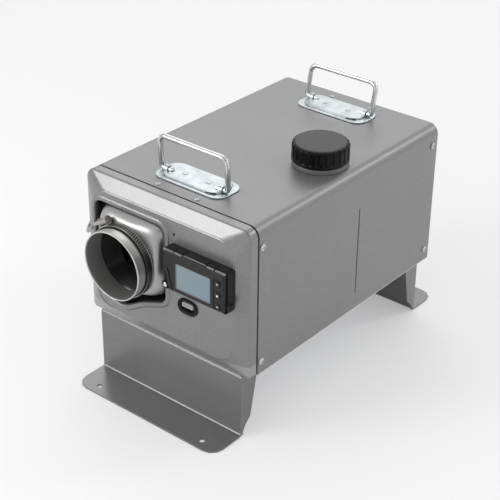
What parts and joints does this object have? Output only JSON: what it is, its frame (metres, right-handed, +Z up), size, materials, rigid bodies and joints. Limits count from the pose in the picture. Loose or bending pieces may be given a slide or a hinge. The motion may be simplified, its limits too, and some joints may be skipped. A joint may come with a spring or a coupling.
{
  "type": "diesel air heater",
  "caption": "Portable diesel air heater: painted steel case on two bent feet, warm air spigot with worm clamp, controller, fuel cap and two folding handles.",
  "frame": {"origin": "on the floor under the middle of the whole part's box", "axes": "+Z up, -Y towards the front with the warm air spigot, +X to the right seen from the front"},
  "size_m": [0.2404, 0.4366, 0.3075],
  "materials": {
    "case_paint": "hammered metallic grey enamel",
    "panel_paint": "metallic grey enamel",
    "zinc": "bright zinc plate",
    "chrome": "polished",
    "brushed": "brushed",
    "cast": "as cast",
    "black_plastic": "fine grained",
    "control_plastic": "satin",
    "key_plastic": "satin",
    "rubber": "matt",
    "screen": "clear pane over a grey-blue display",
    "tank_plastic": "translucent natural polythene",
    "brass": "satin",
    "board": "resin board"
  },
  "bodies": {
    "case": {"case_sleeve": "case_paint", "front_foot": "case_paint", "rear_foot": "case_paint", "front_panel": "panel_paint", "rear_panel": "panel_paint", "base_tray": "zinc", "heater_cradle": "zinc", "fan_motor": "zinc", "fuel_pump": "zinc", "front_handle_plate": "zinc", "rear_handle_plate": "zinc", "case_screw_right_1": "zinc", "case_screw_right_2": "zinc", "case_screw_right_3": "zinc", "case_screw_right_4": "zinc", "case_screw_left_1": "zinc", "case_screw_left_2": "zinc", "case_screw_left_3": "zinc", "case_screw_left_4": "zinc", "clamp_band": "chrome", "clamp_housing": "chrome", "outlet_hood": "brushed", "duct_spigot": "brushed", "combustion_chamber": "brushed", "exhaust_stub": "brushed", "heat_exchanger": "cast", "burner_housing": "cast", "air_intake_stub": "cast", "jacket_upper": "black_plastic", "jacket_lower": "black_plastic", "cable_gland": "black_plastic", "filler_collar": "black_plastic", "controller_bracket": "black_plastic", "controller_body": "control_plastic", "port_block": "key_plastic", "spigot_seal": "rubber", "mount_gasket": "rubber", "pump_clip": "rubber", "tank_hose": "rubber", "pump_hose": "rubber", "burner_hose": "rubber", "port_grommet": "rubber", "display_lens": "screen", "fuel_tank": "tank_plastic", "fuel_filter": "tank_plastic", "glow_plug": "brass", "control_board": "board"},
    "rotor": {"motor_shaft": "brushed", "combustion_impeller": "cast", "fan_impeller": "black_plastic"},
    "clamp_worm": {"clamp_screw": "zinc"},
    "cap_liner": {"cap_seal": "rubber"},
    "cap": {"fuel_cap": "black_plastic"},
    "up_key": {"button_up": "key_plastic"},
    "set_key": {"button_set": "key_plastic"},
    "down_key": {"button_down": "key_plastic"},
    "front_grip": {"front_bail": "chrome"},
    "rear_grip": {"rear_bail": "chrome"}
  },
  "joints": [
    {"name": "front_handle_fold", "type": "hinge", "parent": "case", "child": "front_grip", "pos_m": [0, -0.12525, 0.2661], "axis": [-1, 0, 0], "range_deg": [0, 92]},
    {"name": "rear_handle_fold", "type": "hinge", "parent": "case", "child": "rear_grip", "pos_m": [0, 0.13625, 0.2661], "axis": [1, 0, 0], "range_deg": [0, 101]},
    {"name": "cap_rise", "type": "slide", "parent": "case", "child": "cap_liner", "axis": [0, 0, 1], "range_m": [0, 0.0122]},
    {"name": "cap_turn", "type": "hinge", "parent": "cap_liner", "child": "cap", "pos_m": [0.0735, 0.00125, 0.27], "axis": [0, 0, 1], "range_deg": [0, 1080]},
    {"name": "fan_spin", "type": "hinge", "parent": "case", "child": "rotor", "pos_m": [-0.0427, 0.11925, 0.1798], "axis": [0, 1, 0], "continuous": true},
    {"name": "clamp_screw_turn", "type": "hinge", "parent": "case", "child": "clamp_worm", "pos_m": [-0.06782, -0.1964, 0.22], "axis": [-0.848, 0, -0.5299], "continuous": true},
    {"name": "button_up_press", "type": "slide", "parent": "case", "child": "up_key", "axis": [0, 1, 0], "range_m": [0, 0.0008], "stiffness_N_per_m": 400},
    {"name": "button_set_press", "type": "slide", "parent": "case", "child": "set_key", "axis": [0, 1, 0], "range_m": [0, 0.0008], "stiffness_N_per_m": 400},
    {"name": "button_down_press", "type": "slide", "parent": "case", "child": "down_key", "axis": [0, 1, 0], "range_m": [0, 0.0008], "stiffness_N_per_m": 400}
  ],
  "couplings": [
    {"joint": "cap_rise", "follows": "cap_turn", "m_per_rad": 0.00063662}
  ]
}
